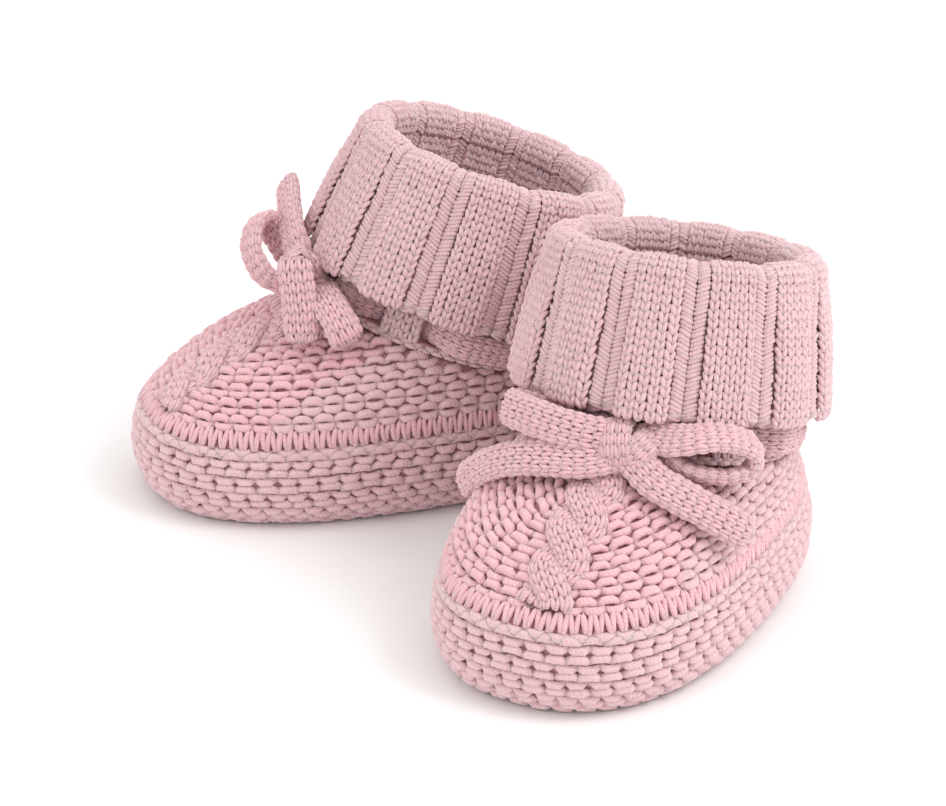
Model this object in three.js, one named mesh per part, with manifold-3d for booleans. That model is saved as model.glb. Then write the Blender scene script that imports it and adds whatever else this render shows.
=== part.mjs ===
// A pair of knitted baby booties with turned-down ribbed cuffs and tied bows.
// Millimetres, +Z up. Each bootie is built with its toe towards -Y and its heel
// towards +Y, then turned and set beside the other one.
import * as THREE from 'three';
import { mergeVertices } from 'three/addons/utils/BufferGeometryUtils.js';
import Module from 'manifold-3d';

const wasm = await Module();
wasm.setup();

// ---------- the foot ----------
const toeLength = 49;           // foot's centre to the tip of the toe
const heelLength = 56;          // foot's centre to the back of the heel
const toeHalfWidth = 31.4;
const heelHalfWidth = 30.2;
const outlineSquareness = 0.84; // 1 is an ellipse, less is squarer
const knitThickness = 3;
const seamGap = 0.35;           // air between two pieces that are sewn together
const wallHeight = 18;          // ridged side wall, floor to pick-up band
const wallWidest = 10;          // height of the widest line of the wall
const wallUndercut = 7;         // how far the wall rolls in under the foot
const wallLeanIn = 1.5;         // how far the wall leans in above its widest line
const bandHeight = 5.2;         // smooth band where the upper is picked up
const vampHalfAngle = 56;       // instep panel, degrees each side of its middle
const vampRise = 15;            // how high the instep arches above the wall
const vampCrownReach = 36;      // the arch's crown, in front of the foot's centre
const heelRise = 8;

// ---------- the leg and its cuff ----------
const ankleBack = 18;           // centre of the ankle ring, behind the foot's centre
const ankleHeight = 32.4;
const ankleHalfWidth = 24.6;
const ankleHalfDepth = 26.2;
const legTop = 34;              // top of the inner leg, above the ankle ring
const legTaper = 0.6;           // how much narrower the leg is at its top
const cuffBottom = 8.4;         // lower edge of the turned-down cuff
const foldStart = 36.4;         // where the rolled fold starts
const cuffFlare = 7.6;          // the lower edge stands this far outside the ankle
const foldOut = 3.6;            // the fold stands this far outside the ankle
const cuffThickness = 3.2;
const cuffClearance = 0.4;

// ---------- the tie cord and its bow ----------
const cordWidth = 6;            // flat knitted cord, drawn through the ankle's slits
const cordThickness = 3;
const bowCordDiameter = 4.4;    // the same cord, rounder where it hangs free
const slitClearance = 0.45;
const slitMargin = 0.6;         // knitting left above and below each slit
const slitHalfLength = 5;
const cordPassAngle = 11;       // half the turn in which the cord passes a slit
const sideSlitAngles = [74, 122, 238, 286];
const knotSlitAngle = 24;       // the slits beside the knot, each side of it
const knotRadii = [6.2, 5, 5];
const knotHeight = 2.6;

const roundSteps = 36;
// The band round the ankle is as tall as its slits and their margins, and the cord runs at mid-slit.
const slitHeight = cordWidth + 2 * slitClearance;
const cordHeight = seamGap + slitMargin + slitHeight / 2;
const ankleBandHeight = seamGap + slitHeight + 2 * slitMargin;
const legDrop = new THREE.Vector3(0, ankleBack, ankleHeight);

// Each bootie's place, the backward lean of its leg, and the run of its bow's cords from
// the middle of the knot: across to the wearer's left (-) or right (+), back, and up the leg.
const booties = [
  {
    name: 'first', turn: -28, place: [28.6, -33.9], lean: 15, knotAngle: 12,
    leftLoop: [[-3, -1.2, 1.4], [-8, -3.9, 1.9], [-14, -3.6, 2.4], [-19.5, -1.6, 2.9], [-23.8, 1.6, 3],
      [-25.8, 4.6, 2.9], [-23.8, 7, 2.6], [-18.5, 5.2, 2.2], [-12.5, 2, 1.4], [-7.5, 0.8, 0.4],
      [-3, 0.6, -0.6]],
    rightLoop: [[3, 1, 2.4], [8, -0.4, 2.7], [12, -1.6, 3.6], [16, -0.6, 4.6], [20.5, 2, 4.6],
      [24.2, 5, 2.4], [23.6, 5.6, -1.6], [19.4, 3.2, -3.4], [14, 1.2, -3.2], [8.5, 0.8, -2.6],
      [3, 1, -2.4]],
    leftTail: [[-2, -3.4, -2.4], [-8, -4.8, -3.4], [-14, -4.4, -4.1], [-20, -2.4, -5.4], [-26, 1.4, -7.8],
      [-31, 6, -11.4], [-34.8, 10, -15.6]],
    rightTail: [[2, -3.4, -2.6], [7, -5.2, -4.9], [12.5, -5.6, -6.9], [18, -4.8, -9], [22.5, -3.4, -11],
      [26.6, -1.6, -13]],
  },
  {
    name: 'second', turn: -74, place: [-26.4, 36.2], lean: 19, knotAngle: 8,
    leftLoop: [[-2, -2, 0], [-5, -7.6, -1.8], [-8, -11.2, 0.8], [-11, -12, 4.2], [-14, -10.2, 7.2],
      [-15.4, -7, 7.4], [-12.5, -4, 4.2], [-7.5, -2, 1.6], [-3, -0.5, 0.6]],
    rightLoop: [[3, 0, 1], [8, -1.4, 1.2], [13, -1.4, 0.6], [17, -0.6, -0.8], [19.4, 0.8, -2.8],
      [17.4, 2.2, -3.8], [13, 1.8, -3.4], [8, 1.2, -2.8], [3, 0.6, -2]],
    leftTail: [[-1, -1.6, 2.4], [-4, -4.8, 7], [-8.8, -4.6, 9], [-14, -3.6, 10.9], [-19, -2.5, 12.6],
      [-24, -1.4, 14.3]],
    rightTail: [[1.4, -2.4, 1.8], [4, -7, 6], [5.6, -9, 6.8], [7.5, -8.8, 4.4], [9, -7.6, 0.8],
      [10.6, -6.4, -3], [12.4, -5.2, -7.6]],
  },
];

// ---------- small helpers ----------
function degrees(angle) {
  return angle * Math.PI / 180;
}

function signedPower(value, exponent) {
  return Math.sign(value) * Math.abs(value) ** exponent;
}

function smoothStep(value) {
  const t = Math.min(1, Math.max(0, value));
  return t * t * (3 - 2 * t);
}

function knitMaterial(colour) {
  return new THREE.MeshStandardMaterial({ color: colour, roughness: 0.95, metalness: 0 });
}

// ---------- shape of the foot's surface ----------
// Angle 0 is the toe and a positive angle turns towards +X. The outline at the widest line
// is a squared oval, broader at the toe; grow moves it out (+) or in (-).
function outlinePoint(angle, grow) {
  const along = signedPower(Math.cos(angle), outlineSquareness);
  const across = signedPower(Math.sin(angle), outlineSquareness);
  const length = Math.cos(angle) > 0 ? toeLength : heelLength;
  const toeShare = smoothStep((1 + Math.cos(angle)) / 2);
  const halfWidth = heelHalfWidth + (toeHalfWidth - heelHalfWidth) * toeShare;
  return [(halfWidth + grow) * across, -(length + grow) * along];
}

function wallPoint(angle, height) {
  const above = Math.max(0, (height - wallWidest) / (wallHeight - wallWidest));
  const below = Math.max(0, (wallWidest - height) / wallWidest);
  const roll = wallUndercut * (1 - Math.sqrt(Math.max(0, 1 - below ** 2.2)));
  const [x, y] = outlinePoint(angle, -roll - wallLeanIn * above ** 2);
  return new THREE.Vector3(x, y, height);
}

function legAxes(lean) {
  const a = degrees(lean);
  return {
    up: new THREE.Vector3(0, Math.sin(a), Math.cos(a)),
    back: new THREE.Vector3(0, Math.cos(a), -Math.sin(a)),
  };
}

function anklePoint(angle, lean) {
  const { back } = legAxes(lean);
  const point = legDrop.clone().addScaledVector(back, -ankleHalfDepth * Math.cos(angle));
  point.x += ankleHalfWidth * Math.sin(angle);
  return point;
}

// From the top of the wall (share 0) over the instep or heel to the ankle ring (share 1).
function upperPoint(angle, share, lean) {
  const front = Math.max(0, Math.cos(angle));
  const rear = Math.max(0, -Math.cos(angle));
  const start = wallPoint(angle, wallHeight);
  const rise = vampRise * front + heelRise * (1 - front);
  const setBack = toeLength - vampCrownReach;
  const crown = new THREE.Vector3(start.x * 0.98, start.y + setBack * front - rear, wallHeight + rise);
  const end = anklePoint(angle, lean);
  return start.multiplyScalar((1 - share) ** 2)
    .addScaledVector(crown, 2 * share * (1 - share))
    .addScaledVector(end, share ** 2);
}

// Track runs from 0 at the floor, through 1 at the wall's top, to 2 at the ankle ring.
function footPoint(angle, track, lean) {
  return track <= 1
    ? wallPoint(angle, wallHeight * Math.max(0, track))
    : upperPoint(angle, Math.min(1, track - 1), lean);
}

function trackAboveWall(angle, distance, lean) {
  const steps = 40;
  let walked = 0;
  let last = upperPoint(angle, 0, lean);
  for (let i = 1; i <= steps; i += 1) {
    const next = upperPoint(angle, i / steps, lean);
    const stride = next.distanceTo(last);
    if (walked + stride >= distance) {
      return 1 + (i - 1 + (distance - walked) / stride) / steps;
    }
    walked += stride;
    last = next;
  }
  return 2;
}

function footNormal(angle, track, lean) {
  if (track === 0) {
    return new THREE.Vector3(0, 0, -1);
  }
  const reach = 0.012;
  const low = Math.max(0.004, track - reach);
  const high = Math.min(2, track + reach);
  const rise = footPoint(angle, high, lean).sub(footPoint(angle, low, lean));
  const turn = footPoint(angle + reach, track, lean).sub(footPoint(angle - reach, track, lean));
  const normal = turn.cross(rise).normalize();
  if (track === 2) {
    // The top edge is never thicker above the ankle ring than on it.
    const { up } = legAxes(lean);
    normal.addScaledVector(up, Math.max(0, -normal.dot(up))).normalize();
  }
  return normal;
}

// ---------- closed solids from rings of sections ----------
// Each section is a closed loop of points; sections follow each other round the foot.
function solidFromSections(sections, isRing) {
  const count = sections[0].length;
  const positions = [];
  for (const section of sections) {
    for (const point of section) {
      positions.push(point.x, point.y, point.z);
    }
  }
  const faces = [];
  const spans = isRing ? sections.length : sections.length - 1;
  for (let i = 0; i < spans; i += 1) {
    const next = (i + 1) % sections.length;
    for (let j = 0; j < count; j += 1) {
      const k = (j + 1) % count;
      faces.push(i * count + j, next * count + j, next * count + k);
      faces.push(i * count + j, next * count + k, i * count + k);
    }
  }
  if (!isRing) {
    const half = count / 2;
    const end = (sections.length - 1) * count;
    for (let j = 0; j < half - 1; j += 1) {
      const a = j;
      const b = j + 1;
      const c = count - 2 - j;
      const d = count - 1 - j;
      faces.push(a, b, c, a, c, d);
      faces.push(end + a, end + c, end + b, end + a, end + d, end + c);
    }
  }
  const geometry = new THREE.BufferGeometry();
  geometry.setAttribute('position', new THREE.Float32BufferAttribute(positions, 3));
  geometry.setIndex(faces);
  geometry.computeVertexNormals();
  return geometry;
}

// A layer of knitting on the foot's surface between two tracks, given for each angle. Its
// low edge slants as the surface does at lowSlant, so that it meets the edge it is sewn to.
function footLayer(angles, isRing, lowTrack, highTrack, rows, lean, lowSlant = lowTrack) {
  const sections = angles.map((angle) => {
    const outer = [];
    const inner = [];
    for (let i = 0; i <= rows; i += 1) {
      const track = lowTrack(angle) + (highTrack(angle) - lowTrack(angle)) * i / rows;
      const point = footPoint(angle, track, lean);
      outer.push(point);
      const normal = footNormal(angle, i === 0 ? lowSlant(angle) : track, lean);
      inner.unshift(point.clone().addScaledVector(normal, -knitThickness));
    }
    return outer.concat(inner);
  });
  return solidFromSections(sections, isRing);
}

function ringAngles() {
  return Array.from({ length: roundSteps }, (_, i) => 2 * Math.PI * i / roundSteps);
}

function arcAngles(from, to, steps) {
  return Array.from({ length: steps + 1 }, (_, i) => degrees(from + (to - from) * i / steps));
}

// A ring about the leg's axis. Its profile lists [outside the ankle, height] points.
function legRing(profile) {
  const sections = ringAngles().map((angle) => profile.map(([out, height]) => new THREE.Vector3(
    (ankleHalfWidth + out) * Math.sin(angle),
    -(ankleHalfDepth + out) * Math.cos(angle),
    height,
  )));
  return solidFromSections(sections, true);
}

// ---------- joining and cutting ----------
function toManifold(geometry) {
  const bare = geometry.clone();
  bare.deleteAttribute('normal');
  bare.deleteAttribute('uv');
  const merged = mergeVertices(bare, 1e-4);
  return new wasm.Manifold(new wasm.Mesh({
    numProp: 3,
    vertProperties: new Float32Array(merged.attributes.position.array),
    triVerts: new Uint32Array(merged.index.array),
  }));
}

function toGeometry(manifold) {
  const mesh = manifold.getMesh();
  const geometry = new THREE.BufferGeometry();
  geometry.setAttribute('position', new THREE.BufferAttribute(new Float32Array(mesh.vertProperties), 3));
  geometry.setIndex(new THREE.BufferAttribute(new Uint32Array(mesh.triVerts), 1));
  geometry.computeVertexNormals();
  return geometry;
}

function cutAll(geometry, cutters) {
  return toGeometry(cutters.reduce((left, cutter) => left.subtract(toManifold(cutter)), toManifold(geometry)));
}

// ---------- the pieces of the foot ----------
function soleGeometry() {
  const rim = ringAngles().map((angle) => outlinePoint(angle, -wallUndercut - seamGap));
  const shape = new THREE.Shape(rim.map(([x, y]) => new THREE.Vector2(x, y)));
  return new THREE.ExtrudeGeometry(shape, { depth: knitThickness, bevelEnabled: false });
}

function sideWallGeometry(lean) {
  return footLayer(ringAngles(), true, () => 0, () => 1, 6, lean);
}

function bandGeometry(lean) {
  return footLayer(ringAngles(), true, (angle) => trackAboveWall(angle, seamGap, lean), bandTop(lean), 1,
    lean, () => 1);
}

function bandTop(lean) {
  return (angle) => trackAboveWall(angle, bandHeight, lean);
}

function aboveBand(lean) {
  return (angle) => trackAboveWall(angle, bandHeight + seamGap, lean);
}

function heelWallGeometry(lean) {
  const seamAngle = vampHalfAngle + 1.2;
  return footLayer(arcAngles(seamAngle, 360 - seamAngle, 26), false, aboveBand(lean), () => 2, 3,
    lean, bandTop(lean));
}

function vampGeometry(lean) {
  return footLayer(arcAngles(-vampHalfAngle, vampHalfAngle, 12), false, aboveBand(lean), () => 2, 5,
    lean, bandTop(lean));
}

// ---------- the pieces of the leg, about the leg's own axis ----------
function slitAngles(knotAngle) {
  return [knotAngle + knotSlitAngle, ...sideSlitAngles, 360 + knotAngle - knotSlitAngle];
}

function ankleBandGeometry(knotAngle) {
  const ring = legRing([[0, seamGap], [0, ankleBandHeight], [-knitThickness, ankleBandHeight],
    [-knitThickness, seamGap]]);
  const cutters = slitAngles(knotAngle).map((slit) => {
    const angle = degrees(slit);
    const window = new THREE.BoxGeometry(2 * slitHalfLength, 4 * knitThickness, slitHeight);
    window.rotateZ(angle);
    window.translate((ankleHalfWidth - knitThickness / 2) * Math.sin(angle),
      -(ankleHalfDepth - knitThickness / 2) * Math.cos(angle), cordHeight);
    return window;
  });
  return cutAll(ring, cutters);
}

function legGeometry() {
  const foot = ankleBandHeight + seamGap;
  return legRing([[0, foot], [-legTaper, legTop], [-legTaper - knitThickness, legTop], [-knitThickness, foot]]);
}

// The cuff hangs outside the leg and rolls over its top edge in a soft fold.
function cuffGeometry() {
  const innerOut = -legTaper - knitThickness;
  const middle = (foldOut + innerOut) / 2;
  const radius = (foldOut - innerOut) / 2;
  const profile = [[cuffFlare - 0.8, cuffBottom], [cuffFlare, cuffBottom + 1.4],
    [(cuffFlare + foldOut) / 2 + 0.5, (cuffBottom + foldStart) / 2]];
  for (let i = 0; i <= 6; i += 1) {
    const turn = Math.PI * i / 6;
    profile.push([middle + radius * Math.cos(turn), foldStart + radius * Math.sin(turn)]);
  }
  const hang = legTop + cuffClearance;
  profile.push([innerOut, hang], [foldOut - cuffThickness, hang],
    [cuffFlare - cuffThickness, cuffBottom + 1.4], [cuffFlare - cuffThickness + 0.6, cuffBottom]);
  return legRing(profile);
}

// ---------- the tie cord ----------
function cordSection(width, thickness) {
  const section = new THREE.Shape();
  section.absellipse(0, 0, width / 2, thickness / 2, 0, 2 * Math.PI, false, 0);
  return section;
}

function cordAlong(points, width, thickness, steps, sides) {
  const outline = cordSection(width, thickness).getPoints(sides).slice(0, sides);
  return new THREE.ExtrudeGeometry(new THREE.Shape(outline), {
    extrudePath: new THREE.CatmullRomCurve3(points, false, 'centripetal'),
    steps,
    bevelEnabled: false,
  });
}

function knotSolid(knotAngle, grow) {
  const knot = new THREE.SphereGeometry(1, 14, 9);
  knot.scale(knotRadii[0] + grow, knotRadii[1] + grow, knotRadii[2] + grow);
  knot.rotateZ(degrees(knotAngle));
  const centre = knotCentre(knotAngle);
  knot.translate(centre.x, centre.y, centre.z);
  return knot;
}

function knotCentre(knotAngle) {
  const angle = degrees(knotAngle);
  const out = seamGap + knotRadii[1];
  return new THREE.Vector3((ankleHalfWidth + out) * Math.sin(angle), -(ankleHalfDepth + out) * Math.cos(angle),
    knotHeight);
}

// Outside the ankle by the knot and at the sides, inside it between the other slits.
function ankleCordGeometry(knotAngle) {
  const outside = seamGap + cordThickness / 2;
  const inside = -knitThickness - seamGap - cordThickness / 2;
  const slits = slitAngles(knotAngle);
  const points = [];
  for (let angle = knotAngle + 7; angle <= knotAngle + 353; angle += 4.325) {
    const passed = slits.reduce((sum, slit) => sum
      + smoothStep((angle - slit + cordPassAngle) / (2 * cordPassAngle)), 0);
    const out = inside + (outside - inside) * Math.abs((passed % 2) - 1);
    points.push(new THREE.Vector3((ankleHalfWidth + out) * Math.sin(degrees(angle)),
      -(ankleHalfDepth + out) * Math.cos(degrees(angle)), cordHeight));
  }
  return cutAll(cordAlong(points, cordWidth, cordThickness, 80, 8), [knotSolid(knotAngle, seamGap)]);
}

function bowCordGeometry(route, knotAngle) {
  const centre = knotCentre(knotAngle);
  const points = route.map(([across, back, up]) => new THREE.Vector3(across, back, up)
    .applyAxisAngle(new THREE.Vector3(0, 0, 1), degrees(knotAngle)).add(centre));
  const steps = (route.length - 1) * 2;
  return cutAll(cordAlong(points, bowCordDiameter, bowCordDiameter, steps, 8), [knotSolid(knotAngle, seamGap)]);
}

// ---------- one bootie ----------
function bootie({ name, turn, place, lean, knotAngle, leftLoop, rightLoop, leftTail, rightTail }) {
  const group = new THREE.Group();
  const leg = new THREE.Group();
  leg.position.copy(legDrop);
  leg.rotation.x = -degrees(lean);
  group.add(leg);

  const add = (parent, part, geometry, colour) => {
    const mesh = new THREE.Mesh(geometry, knitMaterial(colour));
    mesh.name = `${name}_${part}`;
    parent.add(mesh);
  };
  add(group, 'sole', soleGeometry(), 0xcfa5aa);
  add(group, 'side_wall', sideWallGeometry(lean), 0xd8b2b6);
  add(group, 'pickup_band', bandGeometry(lean), 0xdcb8bc);
  add(group, 'heel_wall', heelWallGeometry(lean), 0xd8b2b6);
  add(group, 'vamp', vampGeometry(lean), 0xddbbbf);
  add(leg, 'ankle_band', ankleBandGeometry(knotAngle), 0xd2abb0);
  add(leg, 'leg', legGeometry(), 0xcea6aa);
  add(leg, 'cuff', cuffGeometry(), 0xdcb8bc);
  add(leg, 'ankle_cord', ankleCordGeometry(knotAngle), 0xe0bfc4);
  add(leg, 'knot', knotSolid(knotAngle, 0), 0xe0bfc4);
  add(leg, 'loop_left', bowCordGeometry(leftLoop, knotAngle), 0xe0bfc4);
  add(leg, 'loop_right', bowCordGeometry(rightLoop, knotAngle), 0xe0bfc4);
  add(leg, 'tail_left', bowCordGeometry(leftTail, knotAngle), 0xe0bfc4);
  add(leg, 'tail_right', bowCordGeometry(rightTail, knotAngle), 0xe0bfc4);

  group.rotation.z = degrees(turn);
  group.position.set(place[0], place[1], 0);
  return group;
}

const pair = new THREE.Group();
for (const each of booties) {
  pair.add(bootie(each));
}

// The origin is the middle of the pair's footprint, on the floor.
const box = new THREE.Box3().setFromObject(pair, true);
pair.position.set(-(box.min.x + box.max.x) / 2, -(box.min.y + box.max.y) / 2, 0);

export default pair;
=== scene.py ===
import math

import bpy
import numpy as np
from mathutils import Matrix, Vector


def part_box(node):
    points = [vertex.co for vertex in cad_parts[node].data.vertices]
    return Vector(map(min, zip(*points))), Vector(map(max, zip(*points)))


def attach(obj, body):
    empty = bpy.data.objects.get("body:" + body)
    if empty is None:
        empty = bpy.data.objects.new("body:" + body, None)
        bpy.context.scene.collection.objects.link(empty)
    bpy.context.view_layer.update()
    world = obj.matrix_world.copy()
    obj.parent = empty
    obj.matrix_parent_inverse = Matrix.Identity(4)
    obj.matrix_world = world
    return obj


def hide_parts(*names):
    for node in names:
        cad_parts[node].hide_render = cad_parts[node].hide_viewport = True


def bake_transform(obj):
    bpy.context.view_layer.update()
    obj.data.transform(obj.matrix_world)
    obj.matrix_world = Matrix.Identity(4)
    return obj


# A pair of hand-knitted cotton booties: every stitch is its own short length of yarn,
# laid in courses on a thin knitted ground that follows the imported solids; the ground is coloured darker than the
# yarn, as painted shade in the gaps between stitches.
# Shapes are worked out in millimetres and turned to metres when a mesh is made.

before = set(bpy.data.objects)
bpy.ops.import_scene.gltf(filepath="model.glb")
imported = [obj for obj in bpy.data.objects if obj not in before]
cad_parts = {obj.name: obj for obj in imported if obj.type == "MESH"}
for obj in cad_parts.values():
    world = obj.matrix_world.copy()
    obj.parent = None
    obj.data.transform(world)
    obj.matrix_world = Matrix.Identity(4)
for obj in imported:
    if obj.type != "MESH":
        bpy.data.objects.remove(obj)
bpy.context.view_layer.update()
mm = 0.001
chance = np.random.default_rng(11)

foot = {
    "toeLength": 49, "heelLength": 56, "toeHalfWidth": 31.4, "heelHalfWidth": 30.2,
    "squareness": 0.84, "wallHeight": 18, "wallWidest": 10, "undercut": 7, "leanIn": 1.5,
    "bandHeight": 5.2, "vampHalfAngle": 56, "vampRise": 15, "vampSetBack": 13, "heelRise": 8,
    "knitThickness": 3, "seamGap": 0.35,
}
leg = {
    "ankleBack": 18, "ankleHeight": 32.4, "halfWidth": 24.6, "halfDepth": 26.2,
    "bandHeight": 8.45, "legTop": 34, "legTaper": 0.6,
}
booties = {
    "first": {
        "turn": -28, "lean": 15, "knotAngle": 12,
        "loop_left": [(-3, -1.2, 1.4), (-8, -3.9, 1.9), (-14, -3.6, 2.4), (-19.5, -1.6, 2.9), (-23.8, 1.6, 3),
                      (-25.8, 4.6, 2.9), (-23.8, 7, 2.6), (-18.5, 5.2, 2.2), (-12.5, 2, 1.4), (-7.5, 0.8, 0.4),
                      (-3, 0.6, -0.6)],
        "loop_right": [(3, 1, 2.4), (8, -0.4, 2.7), (12, -1.6, 3.6), (16, -0.6, 4.6), (20.5, 2, 4.6),
                       (24.2, 5, 2.4), (23.6, 5.6, -1.6), (19.4, 3.2, -3.4), (14, 1.2, -3.2), (8.5, 0.8, -2.6),
                       (3, 1, -2.4)],
        "tail_left": [(-2, -3.4, -2.4), (-8, -4.8, -3.4), (-14, -4.4, -4.1), (-20, -2.4, -5.4), (-26, 1.4, -7.8),
                      (-31, 6, -11.4), (-34.8, 10, -15.6)],
        "tail_right": [(2, -3.4, -2.6), (7, -5.2, -4.9), (12.5, -5.6, -6.9), (18, -4.8, -9), (22.5, -3.4, -11),
                       (26.6, -1.6, -13)],
    },
    "second": {
        "turn": -74, "lean": 19, "knotAngle": 8,
        "loop_left": [(-2, -2, 0), (-5, -7.6, -1.8), (-8, -11.2, 0.8), (-11, -12, 4.2), (-14, -10.2, 7.2),
                      (-15.4, -7, 7.4), (-12.5, -4, 4.2), (-7.5, -2, 1.6), (-3, -0.5, 0.6)],
        "loop_right": [(2.4, 0, 1), (8, -1.4, 1.2), (13, -1.4, 0.6), (17, -0.6, -0.8), (19.4, 0.8, -2.8),
                       (17.4, 2.2, -3.8), (13, 1.8, -3.4), (8, 1.2, -2.8), (2.4, 0.6, -2)],
        "tail_left": [(-1, -1.6, 2.4), (-4, -4.8, 7), (-8.8, -4.6, 9), (-14, -3.6, 10.9), (-19, -2.5, 12.6),
                      (-24, -1.4, 14.3)],
        "tail_right": [(1.4, -2.4, 1.8), (4, -7, 6), (5.6, -9, 6.8), (7.5, -8.8, 4.4), (9, -7.6, 0.8),
                       (10.6, -6.4, -3), (12.6, -5, -8.4)],
    },
}

# the camera comes first

camera = {"elevation": 24.4, "distance": 832, "lens": 152.6, "aim": (0.6, 3.4, 31.0)}


def addCamera(c):
    data = bpy.data.cameras.new("studioCamera")
    data.sensor_width = 36
    data.lens = c["lens"]
    data.clip_start = 0.01
    data.clip_end = 50
    thing = bpy.data.objects.new("studioCamera", data)
    bpy.context.scene.collection.objects.link(thing)
    tilt = math.radians(c["elevation"])
    away = c["distance"] * mm
    x, y, z = (v * mm for v in c["aim"])
    thing.location = (x, y - away * math.cos(tilt), z + away * math.sin(tilt))
    thing.rotation_euler = (math.pi / 2 - tilt, 0, 0)
    bpy.context.scene.camera = thing


addCamera(camera)
bpy.context.scene.view_settings.view_transform = "Standard"    # plain colours, as a shop shows its goods
print("camera set")

# the foot's surface


def signedPower(value, power):
    return np.sign(value) * np.abs(value) ** power


def smoothStep(value):
    t = np.clip(value, 0, 1)
    return t * t * (3 - 2 * t)


def unit(vectors):
    return vectors / np.maximum(np.linalg.norm(vectors, axis=-1, keepdims=True), 1e-9)


def outlinePoint(angle, grow):
    # angle 0 is the toe; the oval is broader at the toe than at the heel
    f = foot
    along = signedPower(np.cos(angle), f["squareness"])
    across = signedPower(np.sin(angle), f["squareness"])
    length = np.where(np.cos(angle) > 0, f["toeLength"], f["heelLength"])
    share = smoothStep((1 + np.cos(angle)) / 2)
    half = f["heelHalfWidth"] + (f["toeHalfWidth"] - f["heelHalfWidth"]) * share
    return (half + grow) * across, -(length + grow) * along


def wallPoint(angle, height):
    f = foot
    above = np.maximum(0, (height - f["wallWidest"]) / (f["wallHeight"] - f["wallWidest"]))
    below = np.clip((f["wallWidest"] - height) / f["wallWidest"], 0, 1)
    roll = f["undercut"] * (1 - np.sqrt(1 - below ** 2.2))
    x, y = outlinePoint(angle, -roll - f["leanIn"] * above ** 2)
    return np.stack(np.broadcast_arrays(x, y, height), -1)


def anklePoint(angle, lean):
    tilt = math.radians(lean)
    back = -leg["halfDepth"] * np.cos(angle)
    return np.stack([leg["halfWidth"] * np.sin(angle), leg["ankleBack"] + back * math.cos(tilt),
                     leg["ankleHeight"] - back * math.sin(tilt)], -1)


def upperPoint(angle, share, lean):
    f = foot
    front = np.maximum(0, np.cos(angle))
    rear = np.maximum(0, -np.cos(angle))
    start = wallPoint(angle, np.full(angle.shape, float(f["wallHeight"])))
    rise = f["vampRise"] * front + f["heelRise"] * (1 - front)
    crown = np.stack([start[..., 0] * 0.98, start[..., 1] + f["vampSetBack"] * front - rear,
                      f["wallHeight"] + rise], -1)
    t = np.asarray(share)[..., None]
    return start * (1 - t) ** 2 + crown * 2 * t * (1 - t) + anklePoint(angle, lean) * t ** 2


def toWorld(bootie, points):
    # from the bootie's own frame to the pair's
    turn = math.radians(bootie["turn"])
    c, s = math.cos(turn), math.sin(turn)
    x = points[..., 0] * c - points[..., 1] * s + bootie["place"][0]
    y = points[..., 0] * s + points[..., 1] * c + bootie["place"][1]
    return np.stack([x, y, points[..., 2]], -1)


def legToFoot(bootie, points):
    tilt = math.radians(bootie["lean"])
    c, s = math.cos(tilt), math.sin(tilt)
    y = leg["ankleBack"] + points[..., 1] * c + points[..., 2] * s
    z = leg["ankleHeight"] - points[..., 1] * s + points[..., 2] * c
    return np.stack([points[..., 0], y, z], -1)


def findPlace(name, bootie):
    # the sole's packed box gives where the bootie stands
    angles = 2 * np.pi * np.arange(36) / 36
    x, y = outlinePoint(angles, -foot["undercut"] - foot["seamGap"])
    bootie["place"] = (0, 0)
    rim = toWorld(bootie, np.stack([x, y, np.zeros(36)], -1))
    low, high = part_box(name + "_sole")
    middle = (rim.min(0) + rim.max(0)) / 2
    bootie["place"] = ((low[0] + high[0]) / 2 / mm - middle[0], (low[1] + high[1]) / 2 / mm - middle[1])


around = 360     # columns and rows of the surface's table
upward = 150
highest = 75.0   # mm walked up the surface from the floor's edge


def footTable(bootie):
    # tables of points and normals by share of the way round and distance up the surface
    fine = np.linspace(0, 2 * np.pi, 2001)
    ring = wallPoint(fine, np.full(fine.shape, float(foot["wallWidest"])))
    walk = np.concatenate([[0], np.cumsum(np.linalg.norm(np.diff(ring, axis=0), axis=1))])
    angles = np.interp(np.linspace(0, 1, around + 1), walk / walk[-1], fine)
    heights = np.linspace(0, 1, 60) ** 1.6 * foot["wallHeight"]
    grid = angles[:, None] + np.zeros(60)[None, :]
    low = wallPoint(grid, heights[None, :] + np.zeros(grid.shape))
    shares = np.linspace(0, 1, 80)[1:]
    grid = angles[:, None] + np.zeros(79)[None, :]
    high = upperPoint(grid, shares[None, :] + np.zeros(grid.shape), bootie["lean"])
    columns = np.concatenate([low, high], 1)
    steps = np.linalg.norm(np.diff(columns, axis=1), axis=2)
    walked = np.concatenate([np.zeros((around + 1, 1)), np.cumsum(steps, 1)], 1)
    bootie["wallArc"] = float(walked[0, 59])
    bootie["girth"] = float(walk[-1])
    bootie["reach"] = walked[:, -1]
    bootie["angles"] = angles
    levels = np.linspace(0, highest, upward + 1)
    table = np.stack([[np.interp(levels, walked[i], columns[i, :, k]) for k in range(3)]
                      for i in range(around + 1)]).transpose(0, 2, 1)
    table = toWorld(bootie, table)
    along = np.roll(table[:-1], -1, 0) - np.roll(table[:-1], 1, 0)
    along = np.concatenate([along, along[:1]], 0)
    rise = np.gradient(table, axis=1)
    normal = unit(np.cross(along, rise))
    for i in range(around + 1):
        last = int(np.searchsorted(levels, walked[i, -1])) - 2
        normal[i, last:] = normal[i, last]
    normal[:, 0] = unit(normal[:, 1] * [1, 1, 0] * 0.3 + [0, 0, -1])
    bootie["table"] = np.concatenate([table, normal], -1)


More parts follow.
